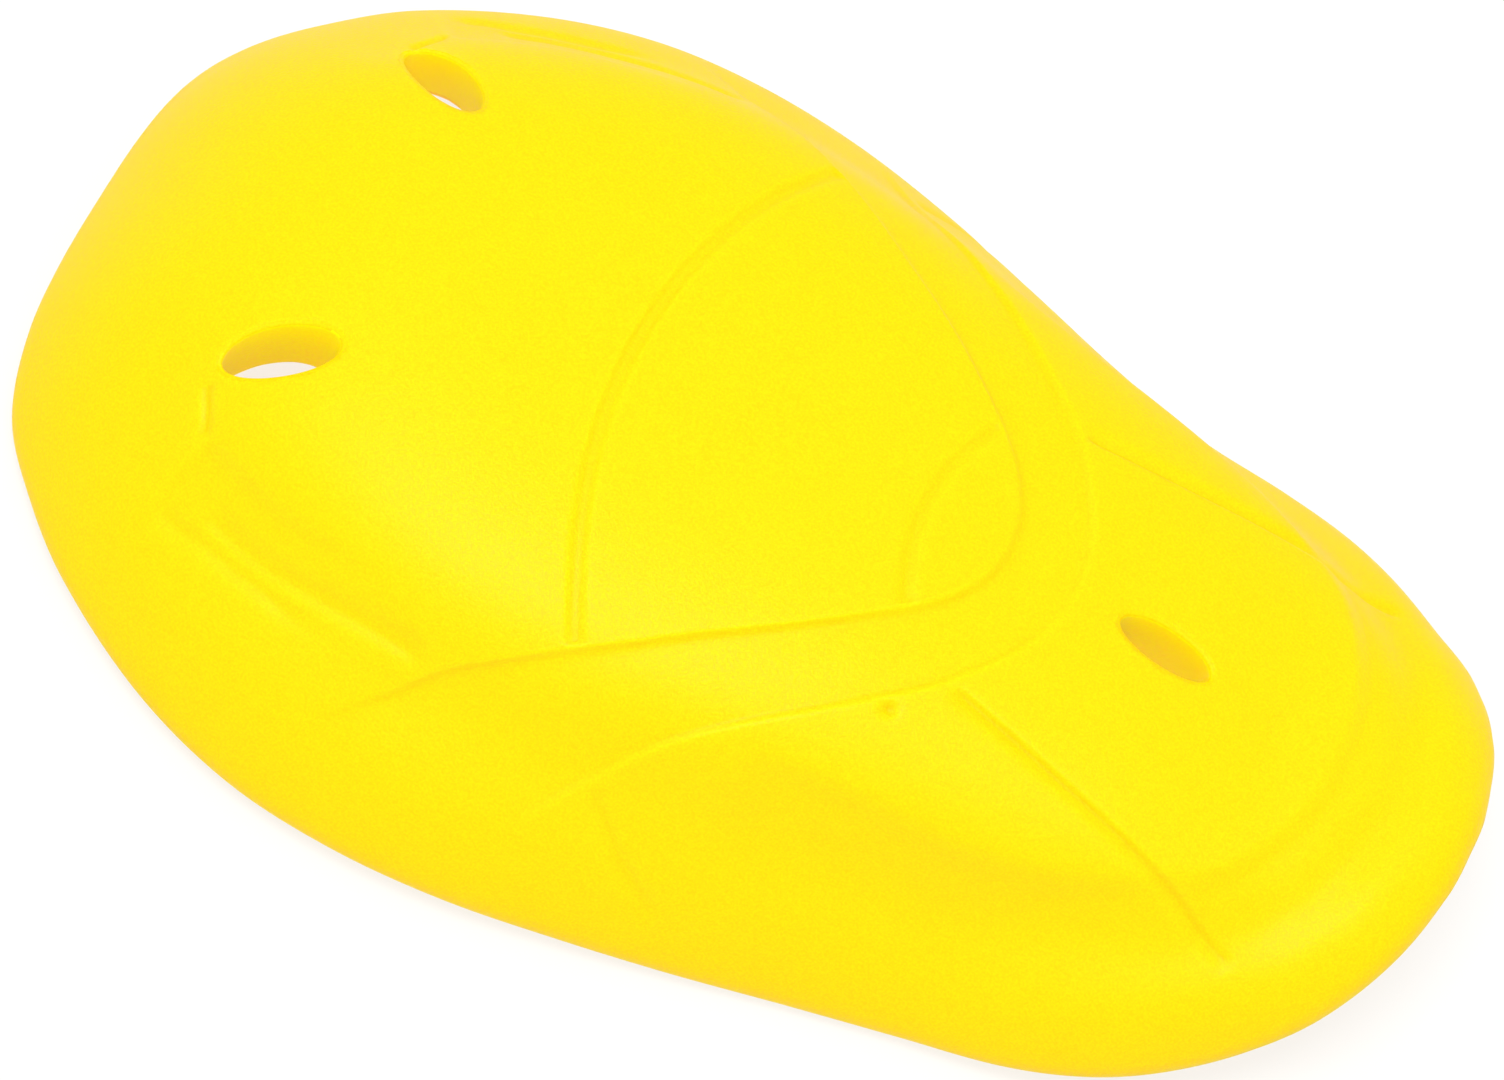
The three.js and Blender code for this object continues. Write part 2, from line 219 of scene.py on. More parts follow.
def cubic(
    t: np.ndarray,
    gap: np.ndarray,
    first: np.ndarray,
    leave: np.ndarray,
    last: np.ndarray,
    arrive: np.ndarray,
) -> np.ndarray:
    """Points of a cubic between two ends.

    Args:
        t: Shares of the way.
        gap: Distance between the ends.
        first: Where it starts.
        leave: Its speed there.
        last: Where it ends.
        arrive: Its speed there.

    Returns:
        One point per share.
    """
    start = (2 * t**3 - 3 * t**2 + 1) * first
    start_pull = (t**3 - 2 * t**2 + t) * gap * leave
    end = (3 * t**2 - 2 * t**3) * last
    end_pull = (t**3 - t**2) * gap * arrive
    return start + start_pull + end + end_pull


class HermiteLine:
    """A smooth line through table rows, with the speed at each row taken from its neighbours."""

    def __init__(self, rows: np.ndarray) -> None:
        """Measures the rows.

        Args:
            rows: One row per point, whose first two columns are its place.
        """
        self.rows = rows
        steps = np.hypot(np.diff(rows[:, 0]), np.diff(rows[:, 1]))
        self.distance = np.concatenate([[0.0], np.cumsum(steps)])
        last = len(rows) - 1
        before = np.maximum(np.arange(len(rows)) - 1, 0)
        after = np.minimum(np.arange(len(rows)) + 1, last)
        span = (self.distance[after] - self.distance[before])[:, None]
        self.speed = (rows[after] - rows[before]) / span

    def at(self, distance: np.ndarray) -> np.ndarray:
        """Rows at the given distances along the line.

        Args:
            distance: Distances from the first row.

        Returns:
            One row per distance.
        """
        i = np.clip(np.searchsorted(self.distance, distance, side="right") - 1, 0, len(self.rows) - 2)
        gap = (self.distance[i + 1] - self.distance[i])[:, None]
        t = (distance - self.distance[i])[:, None] / gap
        return cubic(t, gap, self.rows[i], self.speed[i], self.rows[i + 1], self.speed[i + 1])


@dataclass
class PadShape:
    """The pad's form: the middle layer of the foam, the valley in it, its two skins and its rim.

    Attributes:
        length: Length of the pad in mm.
        width: Width of the pad in mm.
        height: Height of the pad in mm.
        wall: Thickness of the foam in mm.
        valley_depth: Full depth of the valley inside the rim, in mm.
        valley_width: Half width of the valley, as a share of the way from the spine to the rim.
        arch_power: How flat the crown is and how late it falls to the rim.
        arch_reach: How much of the arch's curve is used, 1 being upright at the rim.
        rim_rows: The rim's centre line from the wide end to the narrow end, one side.
        crown_rows: The crown's height along the spine.
        spine_blend: Share of the way to the rim over which the skin's direction blends from the spine's.
        spine_step: Distance in mm by which slopes are read along the spine.
        share_step: Share by which slopes are read towards the rim.
        turn_step: Distance in mm by which slopes are read round the pad.
        half_length: Half length of the rim's centre line in mm.
        half_width: Half width of the rim's centre line in mm.
        rim_radius: Radius of the round rim in mm.
        line: The smooth line through the rim's rows.
        first: Where the wide end's middle lies on that line.
        half_turn: Distance from the wide end's middle to the narrow end's middle on that line.
    """

    length: float = 212.0
    width: float = 141.0
    height: float = 47.0
    wall: float = 10.5
    valley_depth: float = 3.4
    valley_width: float = 0.125
    arch_power: float = 3.4
    arch_reach: float = 0.93
    rim_rows: tuple[RimRow, ...] = (
        RimRow(-0.995, 0.0, 0.1, -0.3, 0.84, 0.0),
        RimRow(-0.993, 0.185, 0.09, -0.3, 0.84, 0.0),
        RimRow(-0.983, 0.337, 0.05, -0.3, 0.84, 0.05),
        RimRow(-0.953, 0.483, 0.0, -0.3, 0.84, 0.2),
        RimRow(-0.893, 0.604, 0.007, -0.3, 0.84, 0.45),
        RimRow(-0.794, 0.746, 0.018, -0.3, 0.83, 0.68),
        RimRow(-0.635, 0.89, 0.016, -0.28, 0.82, 0.86),
        RimRow(-0.476, 0.972, 0.022, -0.24, 0.82, 0.93),
        RimRow(-0.318, 0.996, 0.033, -0.18, 0.83, 0.95),
        RimRow(-0.159, 0.981, 0.039, -0.08, 0.84, 0.98),
        RimRow(0.0, 0.933, 0.031, 0.04, 0.84, 1.0),
        RimRow(0.159, 0.872, 0.012, 0.17, 0.85, 1.0),
        RimRow(0.318, 0.806, 0.004, 0.31, 0.86, 1.0),
        RimRow(0.476, 0.748, 0.014, 0.45, 0.86, 0.97),
        RimRow(0.615, 0.702, 0.046, 0.57, 0.82, 0.9),
        RimRow(0.715, 0.653, 0.1, 0.65, 0.8, 0.75),
        RimRow(0.794, 0.588, 0.16, 0.69, 0.78, 0.65),
        RimRow(0.873, 0.493, 0.24, 0.71, 0.76, 0.55),
        RimRow(0.933, 0.395, 0.345, 0.715, 0.74, 0.5),
        RimRow(0.979, 0.253, 0.455, 0.715, 0.72, 0.48),
        RimRow(1.002, 0.09, 0.51, 0.715, 0.72, 0.48),
        RimRow(1.004, 0.0, 0.52, 0.715, 0.72, 0.48),
    )
    crown_rows: tuple[CrownRow, ...] = (
        CrownRow(-0.3, 0.995),
        CrownRow(-0.08, 0.995),
        CrownRow(0.17, 0.98),
        CrownRow(0.31, 0.945),
        CrownRow(0.45, 0.905),
        CrownRow(0.57, 0.865),
        CrownRow(0.66, 0.82),
        CrownRow(0.715, 0.79),
    )
    spine_blend: float = 0.08
    spine_step: float = 1.0
    share_step: float = 0.004
    turn_step: float = 2.5
    half_length: float = field(init=False)
    half_width: float = field(init=False)
    rim_radius: float = field(init=False)
    line: HermiteLine = field(init=False)
    first: float = field(init=False)
    half_turn: float = field(init=False)

    def __post_init__(self) -> None:
        """Sizes the rim's table and lays the smooth line through it."""
        self.half_length = (self.length - self.wall) / 2
        self.half_width = (self.width - self.wall) / 2
        self.rim_radius = self.wall / 2
        rows = [self._sized(row) for row in self.rim_rows]
        flip = np.array([1.0, -1.0, 1.0, 1.0, 1.0, 1.0])
        full = np.array([rows[1] * flip, *rows, rows[-2] * flip])
        self.line = HermiteLine(full)
        self.first = self.line.distance[1]
        self.half_turn = self.line.distance[-2] - self.first

    def _sized(self, row: RimRow) -> np.ndarray:
        """Sizes one rim row.

        Args:
            row: The row of the table.

        Returns:
            Its x, y, z and start on the spine in mm, the valley's place and its depth in mm.
        """
        return np.array(
            [
                row.x * self.half_length,
                row.y * self.half_width,
                self.rim_radius + row.lift * self.height,
                row.start * self.half_length,
                row.valley_at,
                row.valley * self.valley_depth,
            ]
        )

    def rim_at(self, turn: np.ndarray) -> np.ndarray:
        """Rim rows at places round the pad.

        Args:
            turn: From 0 at the wide end through half_turn at the narrow end to twice that, back again.

        Returns:
            One sized rim row per place.
        """
        turn = np.mod(turn, 2 * self.half_turn)
        back = turn > self.half_turn
        distance = np.where(back, 2 * self.half_turn - turn, turn) + self.first
        rows = self.line.at(distance)
        rows[:, 1] = np.where(back, -rows[:, 1], rows[:, 1])
        low = self.crown_rows[0].x * self.half_length
        high = self.crown_rows[-1].x * self.half_length
        rows[:, 3] = np.clip(rows[:, 3], low, high)
        rows[:, 5] = np.maximum(rows[:, 5], 0.0)
        return rows

    def arch(self, share: np.ndarray) -> np.ndarray:
        """Height of the arch.

        Args:
            share: Shares of the way from the spine to the rim.

        Returns:
            Heights from 1 on the spine to 0 at the rim.
        """
        end = math.sqrt(1 - self.arch_reach**self.arch_power)
        raw = np.sqrt(1 - (share * self.arch_reach) ** self.arch_power)
        return (raw - end) / (1 - end)

    def crown(self, start: np.ndarray) -> np.ndarray:
        """Height of the crown's skin over places on the spine.

        Args:
            start: Places along the pad in mm.

        Returns:
            Heights in mm.
        """
        place = np.array([row.x for row in self.crown_rows]) * self.half_length
        top = np.array([row.top for row in self.crown_rows]) * self.height
        x = np.clip(start, place[0], place[-1])
        slope = np.gradient(top, place)
        slope[0] = 0.0
        i = np.clip(np.searchsorted(place, x, side="right") - 1, 0, len(place) - 2)
        gap = place[i + 1] - place[i]
        return cubic((x - place[i]) / gap, gap, top[i], slope[i], top[i + 1], slope[i + 1])

    def middle(self, turn: np.ndarray, share: np.ndarray) -> np.ndarray:
        """Points of the foam's middle layer.

        Args:
            turn: Places round the pad.
            share: Shares of the way from the spine to the rim.

        Returns:
            One point per place, in mm.
        """
        rim = self.rim_at(turn)
        top = self.crown(rim[:, 3]) - self.rim_radius
        z = rim[:, 2] + (top - rim[:, 2]) * self.arch(share)
        x = rim[:, 3] + (rim[:, 0] - rim[:, 3]) * share
        return np.stack([x, rim[:, 1] * share, z], axis=-1)

    def _round(self, turn: np.ndarray, share: np.ndarray) -> np.ndarray:
        """Steps of the middle layer round the pad."""
        return self.middle(turn + self.turn_step, share) - self.middle(turn - self.turn_step, share)

    def outward(self, turn: np.ndarray, share: np.ndarray) -> np.ndarray:
        """Directions out of the pad at points of the middle layer.

        Args:
            turn: Places round the pad.
            share: Shares of the way from the spine to the rim.

        Returns:
            One direction of length one per place.
        """
        reach = np.maximum(share, self.spine_blend)
        after = np.minimum(reach + self.share_step, 1.0)
        along = self.middle(turn, after) - self.middle(turn, reach - self.share_step)
        normal = unit(np.cross(self._round(turn, reach), along))
        start = self.rim_at(turn)[:, 3]
        rise = self.crown(start + self.spine_step) - self.crown(start - self.spine_step)
        slope = rise / (2 * self.spine_step)
        spine = unit(np.stack([-slope, np.zeros_like(slope), np.ones_like(slope)], axis=-1))
        blend = smooth(share, 0.0, self.spine_blend)[:, None]
        return unit(spine * (1 - blend) + normal * blend)

    def valley(self, turn: np.ndarray, share: np.ndarray) -> np.ndarray:
        """Depth of the valley inside the rim, in mm."""
        rim = self.rim_at(turn)
        return rim[:, 5] * np.exp(-(((share - rim[:, 4]) / self.valley_width) ** 2))

    def outer(self, turn: np.ndarray, share: np.ndarray) -> np.ndarray:
        """Points of the outer skin without its fine relief, in mm."""
        lift = self.rim_radius - self.valley(turn, share)
        return self.middle(turn, share) + self.outward(turn, share) * lift[:, None]

    def inner(self, turn: np.ndarray, share: np.ndarray) -> np.ndarray:
        """Points of the inner skin, in mm."""
        return self.middle(turn, share) - self.outward(turn, share) * self.rim_radius

    def rim(self, turn: np.ndarray, angle: float) -> np.ndarray:
        """Points of the round rim.

        Args:
            turn: Places round the pad.
            angle: From 0 at the outer skin to pi at the inner one.

        Returns:
            One point per place, in mm.
        """
        one = np.ones_like(turn)
        normal = self.outward(turn, one)
        out = unit(np.cross(normal, self._round(turn, one)))
        reach = self.rim_radius - self.valley(turn, one) * max(math.cos(angle), 0.0)
        up = (reach * math.cos(angle))[:, None] * normal
        return self.middle(turn, one) + up + self.rim_radius * math.sin(angle) * out


@dataclass
class PadRelief:
    """The fine relief of the outer skin: tongue, channel, grooves, plateau edge and creases.

    The tongue and the channel round it have round noses on the axis, and their spots give one side,
    from the wide end to the nose.

    Attributes:
        shape: The pad's form.
        tongue: The tongue's edge.
        channel: The channel's outer edge.
        channel_depth: Depth of the channel at the tongue, in mm.
        channel_rise: How much shallower it is at its outer edge, in mm.
        corner: Width of the step from the tongue to the channel, in mm.
        outer_corner: Width of the step at the channel's outer edge, in mm.
        fade_from: Share of the way to the rim where the channel starts to fade.
        fade_to: Share of the way to the rim where it has gone.
        step_from: Distance in mm beyond a crease where its lower side starts to rise back.
        step_to: Distance in mm beyond a crease where it is level again.
        arc_end: How far from the tongue's edge the arcs stop, in mm.
        arc_fade: Over what length they stop, in mm.
        arc_inside: Width of an arc groove's wall inside its edge, in mm.
        arc_outside: Width of an arc groove's wall outside its edge, in mm.
        least_width: Width in mm under which the channel counts as no narrower.
        line_steps: Number of points by which a line is measured.
        arcs: The arc grooves across the tongue.
        side_groove: The straight groove on each side of the plateau at the narrow end.
        plateau_edge: The low step round that plateau.
        creases: The creases beside the tongue at the wide end and one beyond the channel.
        dimples: The hollows beside the slots at the wide end, and a pit on the near side.
    """

    shape: PadShape
    tongue: tuple[Spot, ...] = (
        Spot(-0.455, 0.979),
        Spot(-0.353, 0.865),
        Spot(-0.296, 0.795),
        Spot(-0.231, 0.741),
        Spot(-0.165, 0.68),
        Spot(-0.1, 0.616),
        Spot(-0.015, 0.522),
        Spot(0.051, 0.451),
        Spot(0.118, 0.373),
        Spot(0.184, 0.288),
        Spot(0.219, 0.24),
        Spot(0.257, 0.174),
        Spot(0.286, 0.091),
        Spot(0.296, 0.0),
    )
    channel: tuple[Spot, ...] = (
        Spot(-0.147, 0.985),
        Spot(-0.114, 0.933),
        Spot(-0.053, 0.825),
        Spot(-0.002, 0.745),
        Spot(0.089, 0.637),
        Spot(0.17, 0.541),
        Spot(0.245, 0.443),
        Spot(0.298, 0.366),
        Spot(0.355, 0.25),
        Spot(0.389, 0.152),
        Spot(0.41, 0.0),
    )
    channel_depth: float = 1.0
    channel_rise: float = 0.4
    corner: float = 0.45
    outer_corner: float = 0.75
    fade_from: float = 0.8
    fade_to: float = 0.96
    step_from: float = 2.5
    step_to: float = 14.0
    arc_end: float = 0.3
    arc_fade: float = 0.5
    arc_inside: float = 0.7
    arc_outside: float = 0.3
    least_width: float = 1e-6
    line_steps: int = 60
    arcs: tuple[ArcGroove, ...] = (
        ArcGroove(middle=0.512, radius=0.79, width=2.3, depth=0.52),
        ArcGroove(middle=0.5, radius=0.33, width=2.2, depth=0.5),
    )
    side_groove: Crease = Crease(
        (
            Spot(0.315, 0.345),
            Spot(0.41, 0.368),
            Spot(0.51, 0.393),
            Spot(0.61, 0.418),
            Spot(0.71, 0.444),
            Spot(0.836, 0.483),
        ),
        inner=0.5,
        outer=1.2,
        depth=0.75,
        fade_in=0.05,
        fade_out=0.04,
    )
    plateau_edge: Crease = Crease(
        (
            Spot(0.08, 0.675),
            Spot(0.27, 0.625),
            Spot(0.42, 0.6),
            Spot(0.56, 0.548),
            Spot(0.68, 0.458),
            Spot(0.742, 0.393),
            Spot(0.788, 0.298),
            Spot(0.824, 0.155),
            Spot(0.836, 0.0),
        ),
        inner=1.8,
        outer=2.0,
        depth=0.0,
        step=1.05,
        fade_out=0.0,
    )
    creases: tuple[Crease, ...] = (
        Crease(
            (Spot(-0.759, 0.475), Spot(-0.755, 0.498), Spot(-0.74, 0.536), Spot(-0.728, 0.579)),
            inner=0.7,
            outer=0.5,
            depth=0.6,
        ),
        Crease(
            (
                Spot(-0.728, 0.579),
                Spot(-0.697, 0.6),
                Spot(-0.66, 0.626),
                Spot(-0.611, 0.655),
                Spot(-0.56, 0.677),
                Spot(-0.502, 0.691),
                Spot(-0.42, 0.71),
                Spot(-0.34, 0.72),
            ),
            inner=1.2,
            outer=1.4,
            depth=0.15,
            step=0.55,
            fade_in=0.05,
            fade_out=0.5,
        ),
        Crease(
            (
                Spot(-0.69, 0.69),
                Spot(-0.637, 0.723),
                Spot(-0.57, 0.753),
                Spot(-0.499, 0.768),
                Spot(-0.432, 0.778),
                Spot(-0.362, 0.786),
                Spot(-0.305, 0.794),
            ),
            inner=1.5,
            outer=0.9,
            depth=0.75,
        ),
        Crease(
            (
                Spot(-0.75, 0.7),
                Spot(-0.704, 0.732),
                Spot(-0.662, 0.746),
                Spot(-0.614, 0.769),
                Spot(-0.563, 0.788),
                Spot(-0.515, 0.807),
                Spot(-0.44, 0.825),
            ),
            inner=1.1,
            outer=0.9,
            depth=0.6,
            fade_out=0.3,
        ),
        Crease(
            (Spot(-0.046, 0.823), Spot(-0.011, 0.85), Spot(0.031, 0.883), Spot(0.116, 0.921)),
            inner=0.7,
            outer=1.0,
            depth=0.45,
        ),
    )
    dimples: tuple[Dimple, ...] = (
        Dimple(Spot(-0.796, 0.46), radius=4.5, depth=0.45),
        Dimple(Spot(0.257, -0.457), radius=0.9, depth=1.1, both_sides=False),
    )

    def _line_distance(
        self, spots: tuple[Spot, ...], x: np.ndarray, y: np.ndarray
    ) -> tuple[np.ndarray, np.ndarray, np.ndarray]:
        """Distance to a smooth line, which side of it a point is on, and how far along it.

        Args:
            spots: The points that the line runs through.
            x: Places along the pad in mm.
            y: Places across it in mm.

        Returns:
            The distance in mm, +1 beyond the line or -1 on the axis's side, and the share of the way
            along it.
        """
        rows = np.array([[s.x * self.shape.half_length, s.y * self.shape.half_width] for s in spots])
        whole = len(rows) - 1
        if spots[-1].y == 0.0:
            rows = np.vstack([rows, rows[-2] * np.array([1.0, -1.0])])
        line = HermiteLine(rows)
        points = line.at(np.linspace(0, line.distance[whole], self.line_steps))
        q = np.stack([x, np.abs(y)], axis=-1)
        best = np.full(len(x), np.inf)
        side = np.ones(len(x))
        along = np.zeros(len(x))
        total = len(points) - 1
        for i in range(total):
            a = points[i]
            d = points[i + 1] - a
            t = np.clip(((q - a) @ d) / (d @ d), 0.0, 1.0)
            gap = q - (a + t[:, None] * d)
            length = np.hypot(gap[:, 0], gap[:, 1])
            closer = length < best
            turn = d[0] * gap[:, 1] - d[1] * gap[:, 0]
            side = np.where(closer, np.where(turn >= 0, 1.0, -1.0), side)
            along = np.where(closer, (i + t) / total, along)
            best = np.where(closer, length, best)
        return best, side, along

    def _crease_depth(self, crease: Crease, x: np.ndarray, y: np.ndarray) -> np.ndarray:
        """Depth of a crease and of the step beyond it.

        Args:
            crease: The crease.
            x: Places along the pad in mm.
            y: Places across it in mm.

        Returns:
            Depths in mm.
        """
        gap, side, along = self._line_distance(crease.spots, x, y)
        ends = smooth(along, 0.0, crease.fade_in)
        if crease.fade_out > 0.0:
            ends = ends * (1 - smooth(along, 1 - crease.fade_out, 1.0))
        half = np.where(side > 0, crease.outer, crease.inner)
        groove = crease.depth * np.exp(-((gap / half) ** 2)) * ends
        if crease.step == 0.0:
            return groove
        signed = gap * side
        drop = smooth(signed, -crease.inner, crease.outer)
        reach = 1 - smooth(signed, self.step_from, self.step_to)
        return groove + crease.step * drop * reach * ends

    def _channel_depth(self, x: np.ndarray, y: np.ndarray) -> tuple[np.ndarray, np.ndarray]:
        """Depth of the channel round the tongue.

        Args:
            x: Places along the pad in mm.
            y: Places across it in mm.

        Returns:
            Depths, and how far each place is outside the tongue, both in mm.
        """
        gap, side, _ = self._line_distance(self.tongue, x, y)
        outside = gap * side
        gap, side, _ = self._line_distance(self.channel, x, y)
        inside = -gap * side
        across = np.clip(outside / np.maximum(outside + inside, self.least_width), 0.0, 1.0)
        fall = 1 - np.exp(-np.maximum(outside, 0.0) / self.corner)
        wall = smooth(inside, 0.0, self.outer_corner)
        return (self.channel_depth - self.channel_rise * across) * fall * wall, outside

    def depth(self, x: np.ndarray, y: np.ndarray, share: np.ndarray) -> np.ndarray:
        """How far the outer skin sinks at each place.

        Args:
            x: Places along the pad in mm.
            y: Places across it in mm.
            share: Shares of the way from the spine to the rim.

        Returns:
            Depths in mm.
        """
        channel, outside = self._channel_depth(x, y)
        total = channel * (1 - smooth(share, self.fade_from, self.fade_to))
        on_tongue = 1 - smooth(outside, -self.arc_end - self.arc_fade, -self.arc_end)
        for arc in self.arcs:
            middle = arc.middle * self.shape.half_length
            gap = np.abs(np.hypot(x - middle, y) - arc.radius * self.shape.half_length)
            floor = 1 - smooth(gap, arc.width / 2 - self.arc_inside, arc.width / 2 + self.arc_outside)
            total = total + arc.depth * floor * on_tongue * (x < middle)
        for crease in (self.side_groove, self.plateau_edge, *self.creases):
            total = total + self._crease_depth(crease, x, y)
        for dimple in self.dimples:
            side = np.abs(y) if dimple.both_sides else y
            along = x - dimple.spot.x * self.shape.half_length
            away = np.hypot(along, side - dimple.spot.y * self.shape.half_width)
            total = total + dimple.depth * np.exp(-((away / dimple.radius) ** 2))
        return total


@dataclass(frozen=True)
class YellowFoam:
    """Soft moulded polyurethane foam: saturated yellow, with a satin, finely speckled skin.

    Attributes:
        name: The material's name.
        deep: Colour in the grain's low spots.
        bright: Colour in the grain's high spots.
        grain_scale: Fineness of the grain.
        grain_detail: Octaves of the grain's noise.
        grain_low: Noise value of the low spots.
        grain_high: Noise value of the high spots.
        grain_bump: Strength of the grain's relief.
        pore_scale: Fineness of the pores.
        pore_bump: Strength of the pores' relief.
        bump_height: Height of both reliefs in metres.
        roughness_low: Roughness in the low spots.
        roughness_high: Roughness in the high spots.
        glow_through: Share of the light that goes through the foam.
        glow_radius: How far red, green and blue go through it, as shares of the scale.
        glow_scale: How far light goes through the foam, in metres.
        specular: Strength of the gloss.
        sheen: Strength of the velvety edge light.
        sheen_roughness: Its roughness.
        sheen_tint: Its colour.
    """

    name: str = "yellow_foam"
    deep: tuple[float, float, float, float] = (1.0, 0.6, 0.0, 1.0)
    bright: tuple[float, float, float, float] = (1.0, 0.67, 0.0, 1.0)
    grain_scale: float = 3000.0
    grain_detail: float = 2.0
    grain_low: float = 0.35
    grain_high: float = 0.65
    grain_bump: float = 0.5
    pore_scale: float = 1500.0
    pore_bump: float = 0.25
    bump_height: float = 0.0001
    roughness_low: float = 0.38
    roughness_high: float = 0.55
    glow_through: float = 0.7
    glow_radius: tuple[float, float, float] = (1.0, 0.7, 0.1)
    glow_scale: float = 0.003
    specular: float = 0.1
    sheen: float = 0.02
    sheen_roughness: float = 0.35
    sheen_tint: tuple[float, float, float, float] = (1.0, 0.85, 0.6, 1.0)

    def make(self) -> bpy.types.Material:
        """Builds the material.

        Returns:
            The new material.
        """
        material = bpy.data.materials.new(self.name)
        material.use_nodes = True
        tree = material.node_tree
        tree.nodes.clear()
        out = tree.nodes.new("ShaderNodeOutputMaterial")
        skin = tree.nodes.new("ShaderNodeBsdfPrincipled")
        tree.links.new(skin.outputs["BSDF"], out.inputs["Surface"])
        place = tree.nodes.new("ShaderNodeTexCoord")
        grain = tree.nodes.new("ShaderNodeTexNoise")
        grain.inputs["Scale"].default_value = self.grain_scale
        grain.inputs["Detail"].default_value = self.grain_detail
        tree.links.new(place.outputs["Object"], grain.inputs["Vector"])
        self._tint(tree, grain, skin)
        self._gloss(tree, grain, skin)
        self._bumps(tree, place, grain, skin)
        skin.inputs["Subsurface Weight"].default_value = self.glow_through
        skin.inputs["Subsurface Radius"].default_value = self.glow_radius
        skin.inputs["Subsurface Scale"].default_value = self.glow_scale
        skin.inputs["Specular IOR Level"].default_value = self.specular
        skin.inputs["Sheen Weight"].default_value = self.sheen
        skin.inputs["Sheen Roughness"].default_value = self.sheen_roughness
        skin.inputs["Sheen Tint"].default_value = self.sheen_tint
        return material

    def _tint(self, tree: bpy.types.NodeTree, grain: bpy.types.Node, skin: bpy.types.Node) -> None:
        """Lets the colour go from deep to bright with the grain.

        Args:
            tree: The material's nodes.
            grain: The noise of the grain.
            skin: The shader.
        """
        tint = tree.nodes.new("ShaderNodeValToRGB")
        tint.color_ramp.elements[0].position = self.grain_low
        tint.color_ramp.elements[0].color = self.deep
        tint.color_ramp.elements[1].position = self.grain_high
        tint.color_ramp.elements[1].color = self.bright
        tree.links.new(grain.outputs["Fac"], tint.inputs["Fac"])
        tree.links.new(tint.outputs["Color"], skin.inputs["Base Color"])

    def _gloss(self, tree: bpy.types.NodeTree, grain: bpy.types.Node, skin: bpy.types.Node) -> None:
        """Lets the roughness follow the grain.

        Args:
            tree: The material's nodes.
            grain: The noise of the grain.
            skin: The shader.
        """
        rough = tree.nodes.new("ShaderNodeMapRange")
        rough.inputs["From Min"].default_value = self.grain_low
        rough.inputs["From Max"].default_value = self.grain_high
        rough.inputs["To Min"].default_value = self.roughness_low
        rough.inputs["To Max"].default_value = self.roughness_high
        tree.links.new(grain.outputs["Fac"], rough.inputs["Value"])
        tree.links.new(rough.outputs["Result"], skin.inputs["Roughness"])

    def _bumps(
        self, tree: bpy.types.NodeTree, place: bpy.types.Node, grain: bpy.types.Node, skin: bpy.types.Node
    ) -> None:
        """Adds the pores and the grain as fine bumps.

        Args:
            tree: The material's nodes.
            place: The texture coordinate node.
            grain: The noise of the grain.
            skin: The shader.
        """
        pores = tree.nodes.new("ShaderNodeTexVoronoi")
        pores.inputs["Scale"].default_value = self.pore_scale
        tree.links.new(place.outputs["Object"], pores.inputs["Vector"])
        coarse = tree.nodes.new("ShaderNodeBump")
        coarse.inputs["Strength"].default_value = self.pore_bump
        coarse.inputs["Distance"].default_value = self.bump_height
        tree.links.new(pores.outputs["Distance"], coarse.inputs["Height"])
        fine = tree.nodes.new("ShaderNodeBump")
        fine.inputs["Strength"].default_value = self.grain_bump
        fine.inputs["Distance"].default_value = self.bump_height
        tree.links.new(grain.outputs["Fac"], fine.inputs["Height"])
        tree.links.new(coarse.outputs["Normal"], fine.inputs["Normal"])
        tree.links.new(fine.outputs["Normal"], skin.inputs["Normal"])


@dataclass(frozen=True)
class LightTable:
    """White acrylic of a light table, which glows evenly and so shows hardly any shadow.

    Attributes:
        name: The material's name.
        color: Colour of the acrylic.
        glow: Strength of its own light.
        roughness: Its roughness.
        specular: Strength of its gloss.
    """

    name: str = "white_table"
    color: tuple[float, float, float, float] = (0.2, 0.2, 0.2, 1.0)
    glow: float = 0.76
    roughness: float = 0.9
    specular: float = 0.1

    def make(self) -> bpy.types.Material:
        """Builds the material.

        Returns:
            The new material.
        """
        material = bpy.data.materials.new(self.name)
        material.use_nodes = True
        skin = material.node_tree.nodes["Principled BSDF"]
        skin.inputs["Base Color"].default_value = self.color
        skin.inputs["Roughness"].default_value = self.roughness
        skin.inputs["Specular IOR Level"].default_value = self.specular
        skin.inputs["Emission Color"].default_value = (1.0, 1.0, 1.0, 1.0)
        skin.inputs["Emission Strength"].default_value = self.glow
        return material


